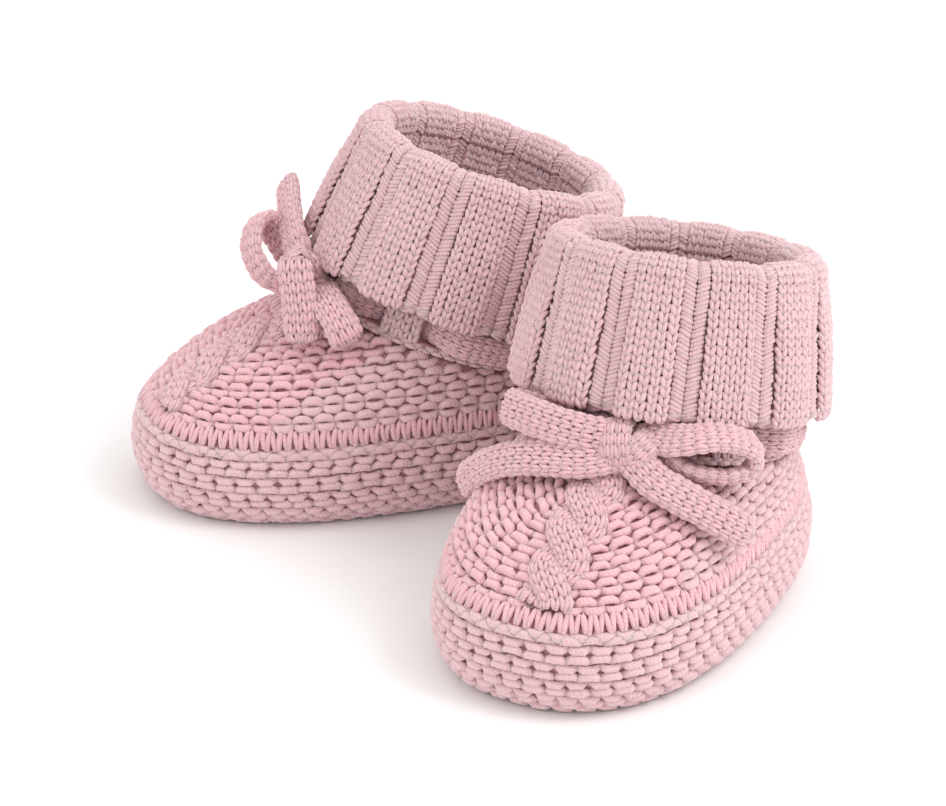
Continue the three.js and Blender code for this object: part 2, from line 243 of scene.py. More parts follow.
def footSurface(bootie):
    # share round the foot and distance up it, to points and outward normals in the pair's frame
    table = bootie["table"]

    def at(share, up):
        share, up = np.broadcast_arrays(share, up)
        a = (share % 1) * around
        b = np.clip(up / highest, 0, 1) * upward
        i = np.minimum(a.astype(int), around - 1)
        j = np.minimum(b.astype(int), upward - 1)
        p, q = (a - i)[..., None], (b - j)[..., None]
        mixed = (table[i, j] * (1 - p) * (1 - q) + table[i + 1, j] * p * (1 - q)
                 + table[i, j + 1] * (1 - p) * q + table[i + 1, j + 1] * p * q)
        return mixed[..., :3], unit(mixed[..., 3:])
    return at


def upperSurface(bootie):
    # the skin above the wall by share round it and square distance from the wall's top edge
    skin = footSurface(bootie)
    shares = np.arange(around + 1) / around
    levels = np.linspace(bootie["wallArc"], highest, upward)
    grid, up = np.meshgrid(shares, levels, indexing="ij")
    point, _ = skin(grid, up)
    edge = point[:, 0]
    away = np.stack([np.linalg.norm(point[:, j, None] - edge[None], axis=2).min(1) for j in range(upward)], 1)
    away = np.maximum.accumulate(away, 1) + np.arange(upward) * 1e-5
    upTable = np.stack([np.interp(np.arange(around) * 0.15, away[i], levels) for i in range(around + 1)])
    reach = np.array([np.interp(bootie["reach"][i], levels, away[i]) for i in range(around + 1)])

    def at(share, far):
        share, far = np.broadcast_arrays(share, far)
        a = (share % 1) * around
        b = np.clip(far / 0.15, 0, around - 1.001)
        i, j = np.minimum(a.astype(int), around - 1), b.astype(int)
        p, q = a - i, b - j
        up = ((upTable[i, j] * (1 - p) + upTable[i + 1, j] * p) * (1 - q)
              + (upTable[i, j + 1] * (1 - p) + upTable[i + 1, j + 1] * p) * q)
        return skin(share, up)

    def slide(share, far):
        # the step round, for each mm away from the edge, that keeps a stitch square to its course
        course = at(share + 0.003, far)[0] - at(share - 0.003, far)[0]
        away = at(share, far + 0.4)[0] - at(share, far - 0.4)[0]
        step = -(course * away).sum(-1) / np.maximum((course * course).sum(-1), 1e-6) * 0.006 / 0.8
        return np.clip(step, -0.012, 0.012)
    at.slide = slide
    at.reach = lambda share: np.interp(share % 1, shares, reach)
    return at


def ringSurface(bootie, profile, relief=None):
    # a ring about the leg's axis; profile lists (outside the ankle, height), walked in mm
    line = np.array(profile, float)
    steps = np.linalg.norm(np.diff(line, axis=0), axis=1)
    walk = np.concatenate([[0], np.cumsum(steps)])
    dense = np.linspace(0, walk[-1], 240)
    out = np.interp(dense, walk, line[:, 0])
    height = np.interp(dense, walk, line[:, 1])
    slopeOut, slopeUp = np.gradient(out, dense), np.gradient(height, dense)

    def at(share, up):
        share, up = np.broadcast_arrays(share, up)
        angle = 2 * np.pi * share
        r, h = np.interp(up, dense, out), np.interp(up, dense, height)
        facing = np.stack([np.sin(angle), -np.cos(angle)], -1)
        no, nu = np.interp(up, dense, slopeUp), -np.interp(up, dense, slopeOut)
        point = np.stack([(leg["halfWidth"] + r) * facing[..., 0], (leg["halfDepth"] + r) * facing[..., 1], h], -1)
        normal = unit(np.stack([no * facing[..., 0], no * facing[..., 1], nu], -1))
        if relief is not None:
            point = point + normal * relief(share, up)[..., None]
        middle = toWorld(bootie, legToFoot(bootie, point))
        tip = toWorld(bootie, legToFoot(bootie, point + normal))
        return middle, tip - middle
    at.length = walk[-1]
    return at


# yarn


def tubes(path, normal, radius, sides, flat=1.0):
    # closed tubes along paths, round or flattened, with their faces outwards
    n, m = path.shape[:2]
    tangent = unit(np.gradient(path, axis=1))
    side = unit(np.cross(tangent, normal))
    up = np.cross(side, tangent)
    turn = 2 * np.pi * np.arange(sides) / sides
    ring = (side[:, 1:-1, None] * np.cos(turn)[None, None, :, None]
            + up[:, 1:-1, None] * np.sin(turn)[None, None, :, None] * flat)
    ring = path[:, 1:-1, None] + ring * radius[:, 1:-1, None, None]
    count = (m - 2) * sides + 2
    points = np.concatenate([path[:, :1], ring.reshape(n, -1, 3), path[:, -1:]], 1).reshape(-1, 3)
    base = np.arange(n)[:, None, None] * count
    j = np.arange(sides)
    k = np.arange(m - 3)[:, None] * sides + 1
    nextJ = (j + 1) % sides
    quads = np.stack([k + j, k + sides + j, k + sides + nextJ, k + nextJ], -1).reshape(-1, 4)
    quads = (quads[None] + base).reshape(-1, 4)
    first = np.stack([j * 0, 1 + j, 1 + nextJ], -1)
    lastRing = 1 + (m - 3) * sides
    last = np.stack([j * 0 + count - 1, lastRing + nextJ, lastRing + j], -1)
    caps = (np.concatenate([first, last])[None] + base).reshape(-1, 3)
    walked = np.concatenate([np.zeros((n, 1)), np.cumsum(np.linalg.norm(np.diff(path, axis=1), axis=2), 1)], 1)
    onRing = np.repeat(walked[:, 1:-1, None], sides, 2).reshape(n, -1)
    length = np.concatenate([walked[:, :1], onRing, walked[:, -1:]], 1).reshape(-1)
    spot = np.concatenate([[0.5], np.tile(j / sides, m - 2), [0.5]])
    return {"points": points, "quads": quads, "caps": caps, "length": length,
            "spot": np.tile(spot, n), "count": count, "sides": sides, "tubes": n}


def tubeParts(t, material, cell, cells):
    # uv "Yarn" is mm along and turns round; uv "OFBake" gives each tube its own cell
    u, v = t["length"][t["quads"]], t["spot"][t["quads"]]
    v[:, 2:] = np.where(v[:, 2:] < v[:, :2] - 1e-6, v[:, 2:] + 1, v[:, 2:])
    uCap, vCap = t["length"][t["caps"]], t["spot"][t["caps"]]
    vCap = np.where(vCap.max(1, keepdims=True) - vCap > 0.6, vCap + 1, vCap)
    rows = int(math.ceil(math.sqrt(cells)))
    longest = max(float(t["length"].max()), 0.1)

    def bake(u, v, face):
        which = cell + face // t["count"]
        a, b = which % rows, which // rows
        return np.stack([(a + 0.06 + 0.88 * np.clip(v, 0, 1.2) / 1.2) / rows,
                         (b + 0.06 + 0.88 * u / longest) / rows * 0.78], -1)
    uvQuads = np.stack([u, v], -1), bake(u, v, t["quads"][:, :1])
    uvCaps = np.stack([uCap, vCap], -1), bake(uCap, vCap, t["caps"][:, :1])
    return [(t["quads"], uvQuads, material), (t["caps"], uvCaps, material)]


def makeMesh(name, groups, materials):
    # groups are (points, [(faces, (yarn uv, bake uv), material number), ...]) in mm
    points = np.concatenate([g[0] for g in groups]) * mm
    starts = np.cumsum([0] + [len(g[0]) for g in groups])
    flat, sizes, mats, yarn, bake = [], [], [], [], []
    for start, group in zip(starts, groups):
        for faces, (uvYarn, uvBake), material in group[1]:
            flat.append((faces + start).reshape(-1))
            sizes.append(np.full(len(faces), faces.shape[1]))
            mats.append(np.full(len(faces), material))
            yarn.append(uvYarn.reshape(-1, 2))
            bake.append(uvBake.reshape(-1, 2))
    flat, sizes, mats = np.concatenate(flat), np.concatenate(sizes), np.concatenate(mats)
    mesh = bpy.data.meshes.new(name)
    mesh.vertices.add(len(points))
    mesh.vertices.foreach_set("co", points.astype(np.float32).reshape(-1))
    mesh.loops.add(len(flat))
    mesh.loops.foreach_set("vertex_index", flat.astype(np.int32))
    mesh.polygons.add(len(sizes))
    mesh.polygons.foreach_set("loop_start", (np.cumsum(sizes) - sizes).astype(np.int32))
    mesh.polygons.foreach_set("material_index", mats.astype(np.int32))
    mesh.polygons.foreach_set("use_smooth", np.ones(len(sizes), bool))
    for layer, values in (("Yarn", yarn), ("OFBake", bake)):
        uv = mesh.uv_layers.new(name=layer)
        uv.data.foreach_set("uv", np.concatenate(values).astype(np.float32).reshape(-1))
    for material in materials:
        mesh.materials.append(material)
    mesh.update()
    mesh.validate()
    thing = bpy.data.objects.new(name, mesh)
    bpy.context.scene.collection.objects.link(thing)
    return thing


def groundGroup(sections, isRing, material):
    # a closed solid from loops of points that follow each other, as a thin knitted ground
    n, k = sections.shape[:2]
    spans = n if isRing else n - 1
    i = np.arange(spans)[:, None]
    j = np.arange(k)[None, :]
    nextI, nextJ = (i + 1) % n, (j + 1) % k
    faces = np.stack([i * k + j, nextI * k + j, nextI * k + nextJ, i * k + nextJ], -1).reshape(-1, 4)
    walk = np.linalg.norm(np.diff(sections, axis=1, append=sections[:, :1]), axis=2)
    walk = np.concatenate([np.zeros((n, 1)), np.cumsum(walk, 1)], 1)
    girth = 3.0
    u = np.stack([i, i + 1, i + 1, i], -1) + np.zeros((spans, k, 4))
    v = np.stack([walk[i, j], walk[nextI, j], walk[nextI, j + 1], walk[i, j + 1]], -1)
    uv = np.stack([u * girth, v], -1).reshape(-1, 4, 2)
    top = walk.max()
    bake = np.stack([u / spans * 0.98 + 0.01, 0.79 + 0.2 * v / top], -1).reshape(-1, 4, 2)
    parts = [(faces, (uv, bake), material)]
    if not isRing:
        half = k // 2
        a = np.arange(half - 1)
        ladder = np.stack([a, a + 1, k - 2 - a, k - 1 - a], -1)
        other = ladder[:, ::-1] + (n - 1) * k
        for faces in (ladder, other):
            tiny = np.zeros((len(faces), 4, 2)) + [0.005, 0.995]
            tiny[:, 1:3, 0] += 0.002
            tiny[:, 2:, 1] -= 0.002
            parts.append((faces, (tiny * 100, tiny), material))
    return sections.reshape(-1, 3), parts


def knitPiece(name, runs, grounds, materials, sides=5, flat=1.0):
    # one piece: all of its yarn and the ground it is worked on, whose darker cotton is painted shade between the
    # stitches
    runs = [r for r in runs if len(r[0])]
    cells = sum(len(r[0]) for r in runs)
    groups, cell = [], 0
    for path, normal, radius in runs:
        t = tubes(path, normal, radius, sides, flat)
        groups.append((t["points"], tubeParts(t, 0, cell, cells)))
        cell += t["tubes"]
    for sections, isRing in grounds:
        groups.append(groundGroup(sections, isRing, 1))
    thing = makeMesh(name, groups, materials)
    print(name, len(thing.data.polygons), "faces")
    return thing


def give(thing, body, slot, *nodes):
    if body:
        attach(thing, body)
    if nodes:
        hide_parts(*nodes)
    return thing


# cotton, as knitted


def fromHex(code, power=1.0):
    parts = [int(code[i:i + 2], 16) / 255 for i in (1, 3, 5)]
    parts = [p / 12.92 if p <= 0.04045 else ((p + 0.055) / 1.055) ** 2.4 for p in parts]
    return (parts[0] * power, parts[1] * power, parts[2] * power, 1)


def addNode(tree, kind, links=(), **settings):
    node = tree.nodes.new(kind)
    for name, value in settings.items():
        setattr(node, name, value)
    for socket, source in dict(links).items():
        if isinstance(source, bpy.types.NodeSocket):
            tree.links.new(source, node.inputs[socket])
        else:
            node.inputs[socket].default_value = source
    return node


# Soft four-ply cotton, hand knitted: matt, with a faint nap at grazing angles, and each
# yarn shows its plies as slanting lines about a millimetre apart, raised by a bump, with painted shade darkening the
# grooves between plies.
cotton = {
    "plyLength": 2.3, "plyCount": 3, "plyDepth": 0.00022, "plyStrength": 0.32,
    "fibre": 5200, "fibreDepth": 0.00005, "fibreStrength": 0.6, "patch": 420, "broad": 55,
    "baseShade": 0.38, "plyGroovePaintedShade": 0.06, "patchShade": 0.30, "broadShade": 0.28,
    "sheen": 0.35, "rough": 0.96, "bleed": 0.45, "bleedDepth": 0.0012,
}


def cottonKnit(name, colour, deep, slant=1.0):
    c = cotton
    material = bpy.data.materials.new(name)
    material.use_nodes = True
    tree = material.node_tree
    tree.nodes.clear()
    uv = addNode(tree, "ShaderNodeUVMap", uv_map="Yarn")
    place = addNode(tree, "ShaderNodeTexCoord")
    parts = addNode(tree, "ShaderNodeSeparateXYZ", {0: uv.outputs[0]})
    along = addNode(tree, "ShaderNodeMath", {0: parts.outputs[0], 1: 1.0 / c["plyLength"]}, operation="MULTIPLY")
    turned = addNode(tree, "ShaderNodeMath", {0: parts.outputs[1], 1: slant, 2: along.outputs[0]},
                     operation="MULTIPLY_ADD")
    turns = addNode(tree, "ShaderNodeMath", {0: turned.outputs[0], 1: 2 * math.pi * c["plyCount"]},
                    operation="MULTIPLY")
    wave = addNode(tree, "ShaderNodeMath", {0: turns.outputs[0]}, operation="SINE")
    fine = addNode(tree, "ShaderNodeTexNoise", {"Vector": place.outputs["Object"], "Scale": c["fibre"],
                                                "Detail": 3.0, "Roughness": 0.6})
    patch = addNode(tree, "ShaderNodeTexNoise", {"Vector": place.outputs["Object"], "Scale": c["patch"], "Detail": 2.0})
    broad = addNode(tree, "ShaderNodeTexNoise", {"Vector": place.outputs["Object"], "Scale": c["broad"], "Detail": 1.0})
    # painted shade: the ply wave darkens the colour where the bump sets the yarn low, in the grooves between plies
    low = addNode(tree, "ShaderNodeMath", {0: wave.outputs[0], 1: c["plyGroovePaintedShade"], 2: c["baseShade"]},
                  operation="MULTIPLY_ADD")
    mid = addNode(tree, "ShaderNodeMath", {0: patch.outputs["Fac"], 1: c["patchShade"], 2: low.outputs[0]},
                  operation="MULTIPLY_ADD")
    high = addNode(tree, "ShaderNodeMath", {0: broad.outputs["Fac"], 1: c["broadShade"], 2: mid.outputs[0]},
                   operation="MULTIPLY_ADD")
    shade = addNode(tree, "ShaderNodeMix", {"Factor": high.outputs[0]}, data_type="RGBA")
    shade.inputs[6].default_value = fromHex(deep)
    shade.inputs[7].default_value = fromHex(colour)
    plies = addNode(tree, "ShaderNodeBump", {"Height": wave.outputs[0], "Distance": c["plyDepth"],
                                             "Strength": c["plyStrength"]})
    nap = addNode(tree, "ShaderNodeBump", {"Height": fine.outputs["Fac"], "Distance": c["fibreDepth"],
                                           "Strength": c["fibreStrength"], "Normal": plies.outputs[0]})
    shader = addNode(tree, "ShaderNodeBsdfPrincipled", {
        "Base Color": shade.outputs[2], "Roughness": c["rough"], "Normal": nap.outputs[0],
        "Sheen Weight": c["sheen"], "Sheen Roughness": 0.6, "Sheen Tint": (1, 0.9, 0.92, 1),
        "Specular IOR Level": 0.2, "Subsurface Weight": c["bleed"], "Subsurface Radius": (1.0, 0.75, 0.75),
        "Subsurface Scale": c["bleedDepth"]})
    addNode(tree, "ShaderNodeOutputMaterial", {0: shader.outputs[0]})
    return material


yarnColour = "#e1c2c6"
yarnDeep = "#cfa3a8"
materials = {
    "garter_knit": cottonKnit("cottonGarterKnit", yarnColour, yarnDeep),
    "stocking_knit": cottonKnit("cottonStockingKnit", "#e7bdc2", "#d69ca4", -1.0),
    "cable_knit": cottonKnit("cottonCableKnit", "#e6bfc4", "#d59da5"),
    "rib_knit": cottonKnit("cottonRibKnit", "#e1bfc3", yarnDeep, -1.0),
    "cord_knit": cottonKnit("cottonTubeKnit", "#e8bfc4", "#d69ca4"),
    # the ground's cotton is darker than the yarn: painted shade for the gaps between stitches, on the fabric's real
    # backing layer
    "ground": cottonKnit("cottonGroundPaintedGapShade", "#d09aa1", "#c1868e"),
}


def cloth(slot):
    return [materials[slot], materials["ground"]]


print("materials made")

# stitch shapes, in stitch widths across, row heights up, and mm out

garterTop = {   # the upper bump of a ridge, a short thick arch open below
    "across": [-0.50, -0.42, -0.20, 0.20, 0.42, 0.50], "rise": [-0.27, -0.10, 0.05, 0.05, -0.10, -0.27],
    "out": [-2.1, -0.85, -0.2, -0.2, -0.85, -2.1], "radius": [0.56, 0.86, 0.96, 0.96, 0.86, 0.56],
}
garterLow = {   # the lower bump, an arch open above, half a stitch along
    "across": [-0.50, -0.42, -0.20, 0.20, 0.42, 0.50], "rise": [0.27, 0.10, -0.05, -0.05, 0.10, 0.27],
    "out": [-2.1, -0.95, -0.32, -0.32, -0.95, -2.1], "radius": [0.56, 0.84, 0.94, 0.94, 0.84, 0.56],
}
leftLeg = {     # one leg of a plain stitch's V
    "across": [-0.02, -0.10, -0.22, -0.34, -0.32], "rise": [-0.88, -0.46, 0.08, 0.56, 0.92],
    "out": [-1.2, -0.38, -0.14, -0.34, -1.2], "radius": [0.36, 0.52, 0.58, 0.52, 0.36],
}
purlBump = {    # a slanting bump of a purl column between ribs
    "across": [-0.60, -0.34, 0.0, 0.34, 0.60], "rise": [-0.52, -0.28, 0.0, 0.26, 0.46],
    "out": [-1.1, -0.38, -0.2, -0.38, -1.1], "radius": [0.38, 0.55, 0.6, 0.55, 0.38],
}
edgeStitch = {  # a stitch lying along an edge
    "across": [-0.62, -0.36, 0.0, 0.36, 0.62], "rise": [-0.12, 0.04, 0.1, 0.04, -0.12],
    "out": [-1.1, -0.45, -0.2, -0.45, -1.1], "radius": [0.4, 0.56, 0.62, 0.56, 0.4],
}


def mirrored(shape):
    return dict(shape, across=[-a for a in shape["across"]])


rightLeg = mirrored(leftLeg)


def scaled(shape, out=1.0, thick=1.0, lift=0.0):
    return dict(shape, out=[v * out + lift for v in shape["out"]], radius=[v * thick for v in shape["radius"]])


def lay(surface, share, up, shape, width, row, wander=0.06):
    # width in shares of the way round and row in mm, one for each stitch or one for all
    width = np.broadcast_to(np.asarray(width, float), share.shape)[:, None]
    n = len(share)
    size = 1 + chance.normal(0, wander, (n, 1)).clip(-0.13, 0.13)
    across = np.asarray(shape["across"])[None, :] * width
    rise = np.asarray(shape["rise"])[None, :] * row * (1 + chance.normal(0, 0.04, (n, 1)))
    jog = chance.normal(0, 0.03, (n, 1)) * width
    sag = chance.normal(0, 0.03, (n, 1)) * row
    square = surface.slide(share, up)[:, None] * (rise + sag) if hasattr(surface, "slide") else 0
    point, normal = surface(share[:, None] + across + jog + square, up[:, None] + rise + sag)
    out = np.asarray(shape["out"])[None, :] + chance.normal(0, 0.07, (n, 1))
    radius = np.asarray(shape["radius"])[None, :] * size
    path = point + normal * out[..., None]
    path[..., 2] = np.maximum(path[..., 2], radius)    # nothing sinks into the floor
    return path, normal, radius


def spread(surface, start, end, up, size, shift=0.0):
    # stitch centres at even distances along a course
    fine = np.linspace(start, end, 400)
    point, _ = surface(fine, np.full(400, up))
    walk = np.concatenate([[0], np.cumsum(np.linalg.norm(np.diff(point, axis=0), axis=1))])
    count = max(1, int(round(walk[-1] / size)))
    each = walk[-1] / count
    isRing = end - start > 0.999
    centres = (np.arange(count + (0 if isRing or shift % 1 else 1)) + shift % 1) * each
    share = np.interp(centres, walk, fine)
    perMm = np.interp(centres, walk, np.gradient(fine, np.maximum(walk, np.arange(400) * 1e-6)))
    return share, perMm * each


garter = {"stitch": 4.5, "ridge": 3.65}


def ridgeRun(surface, start, end, up, offset=0.0, top=0.5):
    # one garter ridge: a row of arches over a row of cups, half a stitch apart
    g = garter
    runs = []
    for shape, rise, shift in ((garterTop, 0.25, 0.0), (garterLow, -0.25, 0.5)):
        level = up + rise * g["ridge"]
        share, width = spread(surface, start, end, level, g["stitch"], shift + offset)
        if hasattr(surface, "reach"):
            inside = surface.reach(share) > level + top
            share, width = share[inside], width[inside]
        runs.append(lay(surface, share, np.full(share.shape, level), shape, width, g["ridge"]))
    return runs


def layerSections(surface, shares, low, high, rows, deep, shallow):
    # the ground a piece is worked on: a thin closed layer just under its stitches
    steps = np.linspace(0, 1, rows + 1)
    grid = shares[:, None] + np.zeros(rows + 1)[None, :]
    low, high = (np.broadcast_to(np.asarray(v, float), shares.shape)[:, None] for v in (low, high))
    point, normal = surface(grid, low + (high - low) * steps[None, :])
    return np.concatenate([point - normal * shallow, (point - normal * deep)[:, ::-1]], 1)


def make(name, label, nodes, body, slot, runs, grounds, sides=5, flat=1.0):
    thing = knitPiece(f"{name}{label}", runs, grounds, cloth(slot), sides, flat)
    return give(thing, body, slot, *nodes)


# the foot


def makeSideWall(name, bootie, surface):
    top = bootie["wallArc"]
    count = int(round(top / garter["ridge"]))
    step = top / count
    runs = []
    for i in range(count):
        runs += ridgeRun(surface, 0, 1, (i + 0.5) * step, (i % 2) * 0.5)
    share, width = spread(surface, 0, 1, top, garter["stitch"])
    runs.append(lay(surface, share, np.full(share.shape, top - 0.1), garterLow, width, garter["ridge"]))
    shares = np.arange(120) / 120
    ground = layerSections(surface, shares, 0.15, top, 14, 3.0, 1.15)
    make(name, "SideWall", [name + "_side_wall"], name + "_foot", "garter_knit", runs, [(ground, True)], 6)


band = {"stitch": 2.3, "low": 0.3, "high": 4.7}


def makeBand(name, surface):
    low, high = band["low"], band["high"]
    tall = high - low
    share, width = spread(surface, 0, 1, (low + high) / 2, band["stitch"])
    runs = []
    for shape in (leftLeg, rightLeg):
        tallShape = dict(scaled(shape, 0.4, 1.12, 0.1), rise=[-0.66, -0.34, 0.05, 0.38, 0.66])
        runs.append(lay(surface, share, np.full(share.shape, (low + high) / 2), tallShape, width, tall))
    shares = np.arange(120) / 120
    ground = layerSections(surface, shares, low, high, 4, 3.0, 0.8)
    make(name, "PickupBand", [name + "_pickup_band"], name + "_foot", "stocking_knit", runs, [(ground, True)], 6)


def shareAtAngle(bootie, degreesRound):
    return float(np.interp(math.radians(degreesRound % 360), bootie["angles"], np.linspace(0, 1, around + 1)))


def makeHeelWall(name, bootie, surface):
    seam = foot["vampHalfAngle"] + 0.6
    start, end = shareAtAngle(bootie, seam), shareAtAngle(bootie, 360 - seam)
    low = band["high"] - 0.45
    runs = []
    for i in range(8):
        runs += ridgeRun(surface, start, end, low + (i + 0.5) * garter["ridge"], (i % 2) * 0.5)
    shares = np.linspace(start, end, 90)
    ground = layerSections(surface, shares, low, surface.reach(shares) - 0.1, 12, 3.0, 1.15)
    make(name, "HeelWall", [name + "_heel_wall"], name + "_foot", "garter_knit", runs, [(ground, False)], 6)


vamp = {"cableShare": 0.016, "cableReach": 3.7, "cross": 9.5, "ropeWidth": 6.4, "ropeThick": 2.5, "ropeRise": 0.75}


def makeVamp(name, bootie, surface, skin):
    right = shareAtAngle(bootie, foot["vampHalfAngle"])
    left = -right
    low = band["high"] - 0.45
    middle = vamp["cableShare"]
    runs = []
    for i in range(11):
        up = low + (i + 0.5) * garter["ridge"]
        here, _ = surface(np.array([middle - 0.01, middle + 0.01]), np.array([up, up]))
        gap = vamp["cableReach"] / (np.linalg.norm(here[1] - here[0]) / 0.02)
        for a, b in ((left, middle - gap), (middle + gap, right)):
            runs += ridgeRun(surface, a, b, up, (i % 2) * 0.5)
    shares = np.linspace(left, right, 60)
    ground = layerSections(surface, shares, low, surface.reach(shares) - 0.1, 16, 3.0, 1.15)
    grounds = [(ground, False)]
    start = bootie["wallArc"] + foot["bandHeight"]
    high = float(bootie["reach"][0])
    for phase in (0.0, math.pi):    # the two ropes of the cable, twisted over each other
        ups = np.linspace(start, high - 1.0, 60)
        turn = math.pi * (ups - start) / vamp["cross"] + phase
        here, _ = skin(np.full(60, middle - 0.01), ups)
        there, _ = skin(np.full(60, middle + 0.01), ups)
        perShare = np.linalg.norm(there - here, axis=1) / 0.02
        point, normal = skin(middle + 2.7 * np.cos(turn) / perShare, ups)
        path = point + normal * (vamp["ropeRise"] * np.sin(turn))[:, None]
        rope = flatCord(path, normal, vamp["ropeWidth"], vamp["ropeThick"])
        got, inner = cordStitches(rope, 8, 2.0)
        runs += got
        grounds.append((inner, False))
    make(name, "Vamp", [name + "_vamp"], name + "_foot", "cable_knit", runs, grounds, 6)


sole = {"ridge": 3.6, "stitch": 4.4}


def makeSole(name, bootie):
    s = sole
    grow = -foot["undercut"] - foot["seamGap"]
    angles = np.linspace(0, 2 * np.pi, 241)[:-1]
    x, y = outlinePoint(angles, grow - 1.0)
    rows = int((y.max() - y.min()) / s["ridge"])
    runs = []
    for side, level in ((-1, 0.95), (1, foot["knitThickness"] - 0.95)):
        for i in range(rows + 1):
            at = y.min() + (i + 0.5) * (y.max() - y.min()) / (rows + 1)
            halfWidth = np.abs(x[np.argsort(np.abs(y - at))[:4]]).mean()
            count = max(1, int(round(2 * halfWidth / s["stitch"])))
            for shape, rise, shift in ((garterTop, 0.25, 0.0), (garterLow, -0.25, 0.5)):
                spots = -halfWidth + (np.arange(count) + 0.5 + shift * 0.9) * 2 * halfWidth / count
                spots = spots[spots < halfWidth - 0.8]

                def flatPlace(share, up, side=side, level=level, bootie=bootie):
                    share, up = np.broadcast_arrays(share, up)
                    point = np.stack([share, up, np.full(share.shape, level)], -1)
                    normal = np.zeros(point.shape)
                    normal[..., 2] = side
                    return toWorld(bootie, point), normal
                run = lay(flatPlace, spots, np.full(spots.shape, at + rise * s["ridge"]),
                          scaled(shape, 0.75, 0.82, 0.3), 2 * halfWidth / count, s["ridge"])
                runs.append(run)
    rim = np.stack(outlinePoint(angles, grow - 0.2), -1)
    turnSteps = []
    for depth, z in ((0.0, 1.05), (0.5, 1.0), (0.97, 0.95), (0.97, 2.05), (0.5, 2.0), (0.0, 1.95)):
        turnSteps.append(np.concatenate([rim * (1 - depth), np.full((240, 1), z)], 1))
    ground = toWorld(bootie, np.stack(turnSteps, 1))
    make(name, "Sole", [name + "_sole"], name + "_foot", "garter_knit", runs, [(ground[:, ::-1], True)], 5)


# cords


cord = {
    "width": 6, "thickness": 3, "height": 4.4, "passAngle": 11, "columns": 10, "row": 2.05,
    "bowWidth": 7.3, "bowThickness": 3.1, "seenWidth": 6.5, "seenThickness": 3.2, "proud": 0.4,
    "sideSlits": [74, 122, 238, 286], "knotSlit": 24, "knotRadii": [6.2, 5, 5], "knotHeight": 2.6,
    "bend": (2, 8), "steps": 70,
}


def smoothPath(points, count):
    # a centripetal curve through the points, then even steps along it
    p = np.array(points, float)
    p = np.concatenate([[2 * p[0] - p[1]], p, [2 * p[-1] - p[-2]]])
    out = []
    for i in range(1, len(p) - 2):
        a, b, c, d = p[i - 1:i + 3]
        t = [0]
        for u, v in ((a, b), (b, c), (c, d)):
            t.append(t[-1] + max(np.linalg.norm(v - u), 1e-6) ** 0.5)
        s = np.linspace(t[1], t[2], 30)[:, None]
        m1 = (t[1] - s) / (t[1] - t[0]) * a + (s - t[0]) / (t[1] - t[0]) * b
        m2 = (t[2] - s) / (t[2] - t[1]) * b + (s - t[1]) / (t[2] - t[1]) * c
        m3 = (t[3] - s) / (t[3] - t[2]) * c + (s - t[2]) / (t[3] - t[2]) * d
        n1 = (t[2] - s) / (t[2] - t[0]) * m1 + (s - t[0]) / (t[2] - t[0]) * m2
        n2 = (t[3] - s) / (t[3] - t[1]) * m2 + (s - t[1]) / (t[3] - t[1]) * m3
        out.append((t[2] - s) / (t[2] - t[1]) * n1 + (s - t[1]) / (t[2] - t[1]) * n2)
    line = np.concatenate(out)
    walk = np.concatenate([[0], np.cumsum(np.linalg.norm(np.diff(line, axis=0), axis=1))])
    even = np.linspace(0, walk[-1], count)
    return np.stack([np.interp(even, walk, line[:, k]) for k in range(3)], -1)


def flatCord(path, facing, width, thick, roundStart=False, roundEnd=True):
    # a flat knitted tube: place round it (share) and along it (up), in mm
    path = np.asarray(path, float)
    walk = np.concatenate([[0], np.cumsum(np.linalg.norm(np.diff(path, axis=0), axis=1))])
    tangent = unit(np.gradient(path, axis=0))
    facing = np.asarray(facing, float)
    facing = unit(facing - tangent * (facing * tangent).sum(1, keepdims=True))
    side = np.cross(tangent, facing)
    total = walk[-1]
    ringAngle = np.linspace(0, 2 * np.pi, 361)
    ring = np.stack([signedPower(np.cos(ringAngle), 0.8) * width, signedPower(np.sin(ringAngle), 0.8) * thick], -1)
    evenShare = np.concatenate([[0], np.cumsum(np.linalg.norm(np.diff(ring, axis=0), axis=1))])
    evenShare = evenShare / evenShare[-1]

    def at(share, up):
        share, up = np.broadcast_arrays(share, up)
        inside = np.clip(up, 0, total)
        mix = [np.stack([np.interp(inside, walk, part[:, k]) for k in range(3)], -1)
               for part in (path, side, facing, tangent)]
        size = np.ones(share.shape)
        for wanted, far in ((roundStart, inside), (roundEnd, total - inside)):
            if wanted:
                size = size * np.sqrt(np.clip(1 - (1 - np.clip(far / 2.2, 0, 1)) ** 2.6, 0.02, 1))
        w, h = width / 2, thick / 2
        angle = np.interp(share % 1, evenShare, ringAngle)
        c, s = signedPower(np.cos(angle), 0.8)[..., None], signedPower(np.sin(angle), 0.8)[..., None]
        point = mix[0] + (mix[1] * c * w + mix[2] * s * h) * size[..., None]
        normal = unit(mix[1] * c * h + mix[2] * s * w)
        return point, normal
    at.length = total
    return at


cordLegs = dict(scaled(leftLeg, 0.8, 0.9, -0.2), across=[0.0, -0.1, -0.24, -0.38, -0.36],
                rise=[-0.78, -0.42, 0.08, 0.5, 0.82])


def cordStitches(surface, columns, row):
    # plain stitches in columns round a flat tube, and its inner tube
    count = max(2, int(surface.length / row))
    step = surface.length / count
    share = np.arange(columns) / columns
    ups = (np.arange(count) + 0.5) * step
    grid, level = np.meshgrid(share, ups)
    grid, level = grid.reshape(-1), level.reshape(-1)
    runs = [lay(surface, grid, level, shape, 1 / columns, step) for shape in (cordLegs, mirrored(cordLegs))]
    steps = np.linspace(0.6, surface.length - 0.7, max(8, int(surface.length / 1.6)))
    rounds = np.arange(12) / 12
    point, normal = surface(rounds[None, :] + np.zeros((len(steps), 1)), steps[:, None] + np.zeros((1, 12)))
    return runs, (point - normal * 0.75)[:, ::-1]


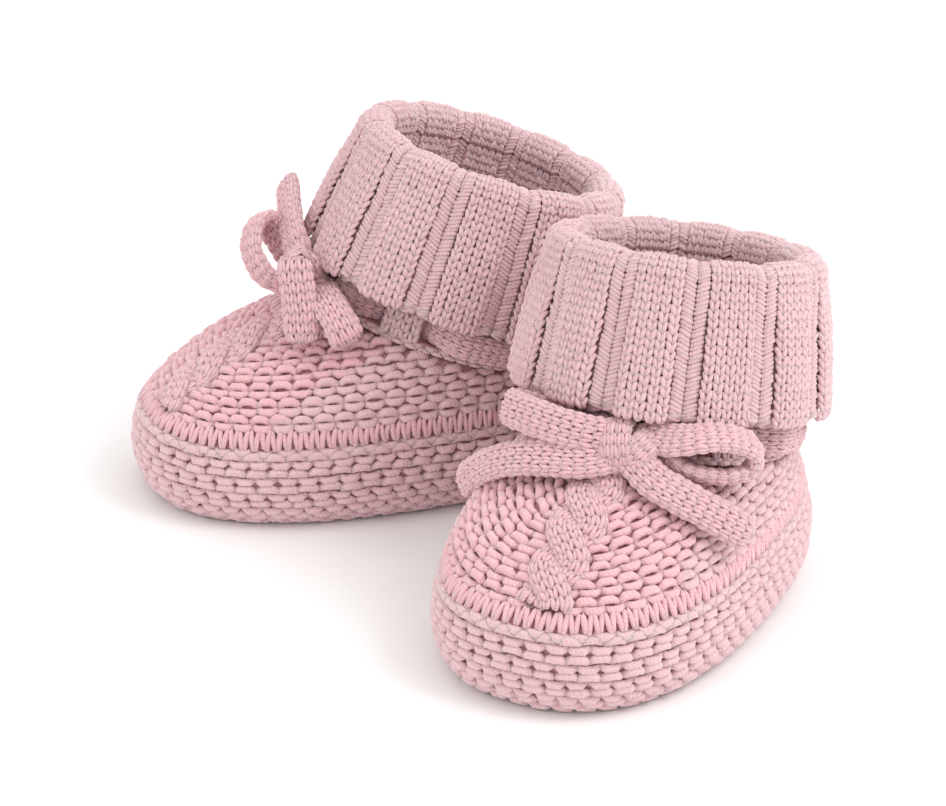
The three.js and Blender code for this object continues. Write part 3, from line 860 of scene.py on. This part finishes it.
def legPlace(bootie, across, back, up):
    # a point given from the knot's middle, in the pair's frame
    k = math.radians(bootie["knotAngle"])
    out = foot["seamGap"] + cord["knotRadii"][1]
    x = (leg["halfWidth"] + out) * math.sin(k) + across * math.cos(k) - back * math.sin(k)
    y = -(leg["halfDepth"] + out) * math.cos(k) + across * math.sin(k) + back * math.cos(k)
    return toWorld(bootie, legToFoot(bootie, np.stack([x, y, cord["knotHeight"] + up], -1)))


def fromKnot(bootie, points):
    p = np.array(points, float)
    return legPlace(bootie, p[:, 0], p[:, 1], p[:, 2])


tailStart = {"tail_left": (4.6, 1.6, 2.4), "tail_right": (-5.4, 2.2, 2.8)}    # each end runs in through the knot
loopTwist = {   # which way a loop's flat side looks: outward, up, and away from its own middle
    "firstloop_left": (0.5, 0.1, 1.0), "firstloop_right": (0.35, 0.25, 1.0),
    "secondloop_left": (0.2, 0.1, 1.0), "secondloop_right": (0.2, 0.3, 1.0),
}
tailTwist = {   # and a tail's: outward, up, across
    "firsttail_left": (1, 0.55, 0), "firsttail_right": (1, 0.6, 0),
    "secondtail_left": (0.9, 0, 0.3), "secondtail_right": (0.8, 0.2, 1.1),
}


def makeBowCord(name, bootie, part):
    isTail = part.startswith("tail")
    route = list(bootie[part])
    if isTail:
        x, y, z = tailStart[part]
        route = [(x, y, z if route[0][2] < 0 else -z)] + [tuple(0.5 * v for v in route[0])] + route[1:]
    path = smoothPath(fromKnot(bootie, route), cord["steps"])
    outward, upward, across = (fromKnot(bootie, [d])[0] - fromKnot(bootie, [(0, 0, 0)])[0]
                               for d in ((0, -1, 0), (0, 0, 1), (1, 0, 0)))
    if isTail:
        o, u, a = tailTwist[name + part]
        facing = np.tile(outward * o + upward * u + across * a, (cord["steps"], 1))
    else:
        o, u, away = loopTwist[name + part]
        facing = unit(path - path.mean(0)) * away
        along = np.linspace(0, 1, cord["steps"])
        lead = smoothStep(np.minimum(along, np.linspace(1, 0, cord["steps"])) / 0.2)[:, None]
        facing = facing * lead + (outward * o + upward * u) * (1.2 - lead)
    surface = flatCord(path, facing, cord["bowWidth"], cord["bowThickness"])
    runs, inner = cordStitches(surface, cord["columns"], cord["row"])
    sidePart = "Left" if part.endswith("left") else "Right"
    label = ("Tail" if isTail else "Loop") + sidePart
    body = None if isTail else name + "_foot"
    thing = make(name, label, [f"{name}_{part}"], body, "cord_knit", runs, [(inner, False)], 5)
    if isTail:      # a tail gets no body: its placement is baked into its points, and its root lies inside the knot
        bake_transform(thing)
    walk = np.linalg.norm(np.diff(path, axis=0), axis=1).sum() * mm
    return thing, path * mm, walk, "bare" if isTail else "object"


def makeAnkleCord(name, bootie):
    c = cord
    k = bootie["knotAngle"]
    outside = foot["seamGap"] + c["thickness"] / 2 + c["proud"]
    inside = -foot["knitThickness"] - foot["seamGap"] - c["thickness"] / 2
    slits = [k + c["knotSlit"]] + c["sideSlits"] + [360 + k - c["knotSlit"]]
    angles = np.linspace(k + 7, k + 353, 240)
    passed = sum(smoothStep((angles - s + c["passAngle"]) / (2 * c["passAngle"])) for s in slits)
    out = inside + (outside - inside) * np.abs(passed % 2 - 1)
    a = np.radians(angles)
    local = np.stack([(leg["halfWidth"] + out) * np.sin(a), -(leg["halfDepth"] + out) * np.cos(a),
                      np.full(a.shape, float(c["height"]))], -1)
    path = toWorld(bootie, legToFoot(bootie, local))
    facing = toWorld(bootie, legToFoot(bootie, local + np.stack([np.sin(a), -np.cos(a), 0 * a], -1))) - path
    surface = flatCord(path, facing, c["seenWidth"], c["seenThickness"], True, True)
    runs, inner = cordStitches(surface, cord["columns"], cord["row"])
    make(name, "AnkleCord", [name + "_ankle_cord"], name + "_foot", "cord_knit", runs, [(inner, False)], 5)


knotWraps = [   # turns of the cord about the knot's middle: tilt, swing, reach across, and radii
    {"tilt": 12, "shift": -1.7, "radii": (4.2, 4.6), "width": 6.4, "from": -130, "to": 150},
    {"tilt": -38, "shift": 2.1, "radii": (3.6, 4.3), "width": 6.0, "from": -120, "to": 130},
    {"tilt": 74, "shift": 0.2, "radii": (3.3, 4.6), "width": 5.4, "from": -100, "to": 100},
]


def makeKnot(name, bootie):
    runs, grounds = [], []
    for w in knotWraps:
        turn = np.radians(np.linspace(w["from"], w["to"], 46))
        tilt = math.radians(w["tilt"])
        across = w["shift"] + 0 * turn
        back = -w["radii"][0] * np.cos(turn)
        up = w["radii"][1] * np.sin(turn)
        ax = across * math.cos(tilt) - up * math.sin(tilt)
        az = across * math.sin(tilt) + up * math.cos(tilt)
        path = legPlace(bootie, ax, back, az)
        middle = legPlace(bootie, np.array([w["shift"] * math.cos(tilt)]), np.array([0.0]),
                          np.array([w["shift"] * math.sin(tilt)]))
        surface = flatCord(path, path - middle, w["width"], 2.6, True, True)
        got, inner = cordStitches(surface, cord["columns"], cord["row"])
        runs += got
        grounds.append((inner, False))
    make(name, "Knot", [name + "_knot"], name + "_foot", "cord_knit", runs, grounds, 5)


# ankle, leg and cuff

rib = {"count": 12, "knitColumns": 5, "purlColumns": 2, "row": 1.75, "knitPart": 0.64, "rise": 0.6, "drop": -1.15}


def ribRelief(scale=1.0, fadeFrom=None, fadeTo=None, far=0.3):
    # ribs stand proud and furrows lie low, and both fade towards a fold
    def relief(share, up):
        t = (share * rib["count"]) % 1 - 0.5
        edge = smoothStep((np.abs(t) - 0.23) / 0.17)
        crown = 1 - (t / 0.4) ** 2 * 0.7
        left = 1.0 if fadeFrom is None else 1 - (1 - far) * smoothStep((up - fadeFrom) / (fadeTo - fadeFrom))
        return scale * left * (rib["rise"] * crown * (1 - edge) + rib["drop"] * edge)
    return relief


def ribStitches(surface, start, end):
    # courses of ribbing: plain Vs on each rib, and arches with cups in each furrow
    count = max(1, int(round((end - start) / rib["row"])))
    step = (end - start) / count
    furrow = 1 - rib["knitPart"]
    knitWidth = rib["knitPart"] / rib["knitColumns"]
    purlWidth = furrow / rib["purlColumns"]
    columns = [(furrow / 2 + (i + 0.5) * knitWidth, knitWidth, (leftLeg, rightLeg)) for i in range(rib["knitColumns"])]
    columns += [(-furrow / 2 + (i + 0.5) * purlWidth, purlWidth, None) for i in range(rib["purlColumns"])]
    runs = []
    levels = start + (np.arange(count) + 0.5) * step
    ribs = np.arange(rib["count"])
    for spot, width, shapes in columns:
        share = (ribs + spot) / rib["count"]
        grid, level = np.meshgrid(share, levels)
        grid, level = grid.reshape(-1), level.reshape(-1)
        if shapes is None:
            shape = purlBump if spot > 0 else mirrored(purlBump)
            for rise in (0.25, -0.25):
                runs.append(lay(surface, grid, level + rise * step, shape, width / rib["count"], step))
        else:
            for shape in shapes:
                runs.append(lay(surface, grid, level, shape, width / rib["count"], step))
    return runs


def ringSections(surface, low, high, rows, deep, shallow, count=144):
    return layerSections(surface, np.arange(count) / count, low, high, rows, deep, shallow)


ankleBand = {
    "columns": 74, "rows": 4, "clear": 12.5, "slitHalf": 10.8, "edgeStitches": 56, "strand": 0.32,
    "edges": ((-0.15, 0.5), (0.45, 0.1), (-0.4, 0.1)),     # height from the nearer rim, and how proud
}


def makeAnkleBand(name, bootie):
    a = ankleBand
    outer = ringSurface(bootie, [(0, foot["seamGap"]), (0, leg["bandHeight"])])
    inner = ringSurface(bootie, [(-foot["knitThickness"], leg["bandHeight"]), (-foot["knitThickness"], 0.35)])
    slits = [bootie["knotAngle"] + cord["knotSlit"]] + cord["sideSlits"] + [
        360 + bootie["knotAngle"] - cord["knotSlit"]]
    runs = []
    step = outer.length / a["rows"]
    share, level = np.meshgrid((np.arange(a["columns"]) + 0.5) / a["columns"], (np.arange(a["rows"]) + 0.5) * step)
    share, level = share.reshape(-1), level.reshape(-1)
    clear = np.min([np.abs((share * 360 - s + 180) % 360 - 180) for s in slits], 0) > a["clear"]
    for surface in (outer, inner):
        for shape in (leftLeg, rightLeg):
            runs.append(lay(surface, share[clear], level[clear], shape, 1 / a["columns"], step))
    count = a["edgeStitches"]
    for (fromRim, proud), rim, shift in zip(a["edges"], (0, 0, leg["bandHeight"]), (0.5, 0, 0)):
        height = rim + fromRim
        edge = ringSurface(bootie, [(proud, height - 0.5), (proud, height + 0.5)])
        runs.append(lay(edge, (np.arange(count) + shift) / count, np.full(count, 0.5), edgeStitch, 1 / count, 1.2))
    grounds = []
    slits = sorted(slits)
    for start, end in zip(slits, slits[1:] + [slits[0] + 360]):     # posts of knitting between the slits
        start, end = (start + a["slitHalf"]) / 360, (end - a["slitHalf"]) / 360
        shares = np.linspace(start, end, max(4, int((end - start) * 144)))
        grounds.append((layerSections(outer, shares, 0.05, outer.length, 3, 2.0, 0.95), False))
    for edge in (a["strand"], outer.length - a["strand"]):      # strands over and under the slits
        grounds.append((ringSections(outer, edge - 0.3, edge + 0.3, 1, 2.2, 0.5, 120), True))
    make(name, "AnkleBand", [name + "_ankle_band"], name + "_foot", "garter_knit", runs, grounds, 5)


def makeLeg(name, bootie):
    t, taper = foot["knitThickness"], leg["legTaper"]
    low = leg["bandHeight"] + foot["seamGap"]
    outer = ringSurface(bootie, [(-0.3, low), (-taper - 0.3, leg["legTop"])], ribRelief(0.35))
    inner = ringSurface(bootie, [(-taper - t + 0.4, leg["legTop"]), (-t + 0.4, low)], ribRelief(0.3))
    runs = ribStitches(outer, 0, outer.length) + ribStitches(inner, 0, inner.length)
    plain = ringSurface(bootie, [(-0.3, low), (-taper - 0.3, leg["legTop"])])
    ground = ringSections(plain, 0.1, plain.length - 0.1, 8, 1.8, 1.0)
    make(name, "Leg", [name + "_leg"], name + "_foot", "rib_knit", runs, [(ground, True)], 5)


cuff = {
    "bottom": 8.4, "foldStart": 36.4, "flare": 7.6, "foldOut": 3.6, "thickness": 3.2, "lip": 1.4,
    "fadeFrom": 17, "fadeTo": 27.5, "foldRelief": 0.28, "backRelief": 0.2,
    "ground": (2.4, 1.7), "foldGround": (2.7, 1.3),     # the ground's deep and shallow sides
}


def makeCuff(name, bootie):
    c = cuff
    inside = -leg["legTaper"] - foot["knitThickness"]
    middle, radius = (c["foldOut"] + inside) / 2, (c["foldOut"] - inside) / 2
    skirt = [(c["flare"] - 0.7, c["bottom"]), (c["flare"], c["bottom"] + c["lip"]),
             ((c["flare"] + c["foldOut"]) / 2 + 0.5, (c["bottom"] + c["foldStart"]) / 2),
             (c["foldOut"], c["foldStart"])]
    fold = [(middle + radius * math.cos(t), c["foldStart"] + radius * math.sin(t))
            for t in np.linspace(0, math.pi, 24)] + [(inside, leg["legTop"] + 0.4)]
    outer = ringSurface(bootie, skirt, ribRelief(1.0, c["fadeFrom"], c["fadeTo"], c["foldRelief"]))
    over = ringSurface(bootie, fold, ribRelief(c["foldRelief"]))
    runs = ribStitches(outer, 0.2, outer.length)
    under = ringSurface(bootie, skirt)
    body = name + "_cuff_body"
    ground = ringSections(under, 0.4, under.length, 12, *c["ground"])
    inward = [(p[0] - c["thickness"] + 0.4, p[1]) for p in reversed(skirt)]
    back = ringSurface(bootie, inward, ribRelief(c["backRelief"]))
    runs += ribStitches(back, back.length * 0.55, back.length - 0.2)
    make(name, "CuffSkirt", [name + "_cuff"], body, "rib_knit", runs, [(ground, True)], 5)
    runs = ribStitches(over, 0, over.length)
    plain = ringSurface(bootie, fold)
    ground = ringSections(plain, 0.0, plain.length - 0.1, 16, *c["foldGround"])
    make(name, "CuffFold", [name + "_cuff"], body, "rib_knit", runs, [(ground, True)], 5)


for name, bootie in booties.items():
    findPlace(name, bootie)
    footTable(bootie)
    surface = footSurface(bootie)
    for part in ("tail_left", "tail_right", "loop_left", "loop_right"):
        thing, path, walk, end = makeBowCord(name, bootie, part)
    makeKnot(name, bootie)
    makeAnkleCord(name, bootie)
    makeSideWall(name, bootie, surface)
    upper = upperSurface(bootie)
    makeBand(name, upper)
    makeHeelWall(name, bootie, upper)
    makeVamp(name, bootie, upper, surface)
    makeSole(name, bootie)
    makeAnkleBand(name, bootie)
    makeLeg(name, bootie)
    makeCuff(name, bootie)
    print(name, "bootie knitted")

# floor and light

studio = {"floor": "#ffffff", "world": 1.1, "key": 5.5, "fill": 1.0}


def addFloor():
    bpy.ops.object.select_all(action="DESELECT")
    bpy.ops.mesh.primitive_plane_add(size=8, location=(0, 0, -0.0002))
    floor = bpy.context.object
    floor.name = "paleFloor"
    material = bpy.data.materials.new("mattPaintedFloor")
    material.use_nodes = True
    shader = material.node_tree.nodes["Principled BSDF"]
    shader.inputs["Base Color"].default_value = fromHex(studio["floor"], 0.92)
    shader.inputs["Roughness"].default_value = 0.9
    shader.inputs["Specular IOR Level"].default_value = 0.1
    floor.data.materials.append(material)


def addLight(name, place, size, watts, aim=(0, 0, 0.03), tint=(1, 1, 1)):
    data = bpy.data.lights.new(name, "AREA")
    data.size = size
    data.energy = watts
    data.color = tint
    thing = bpy.data.objects.new(name, data)
    bpy.context.scene.collection.objects.link(thing)
    thing.location = place
    far = [a - b for a, b in zip(aim, place)]
    flatFar = math.hypot(far[0], far[1])
    thing.rotation_euler = (math.atan2(flatFar, -far[2]), 0, math.atan2(far[1], far[0]) - math.pi / 2)


def addWorld():
    world = bpy.data.worlds.new("softStudio")
    world.use_nodes = True
    world.node_tree.nodes["Background"].inputs[0].default_value = (1, 0.985, 0.975, 1)
    world.node_tree.nodes["Background"].inputs[1].default_value = studio["world"]
    bpy.context.scene.world = world


addFloor()
addWorld()
addLight("keySoftbox", (0.75, -0.3, 0.95), 0.6, studio["key"])
addLight("fillSoftbox", (-0.7, -0.9, 0.6), 0.9, studio["fill"])
print("floor and lights set")
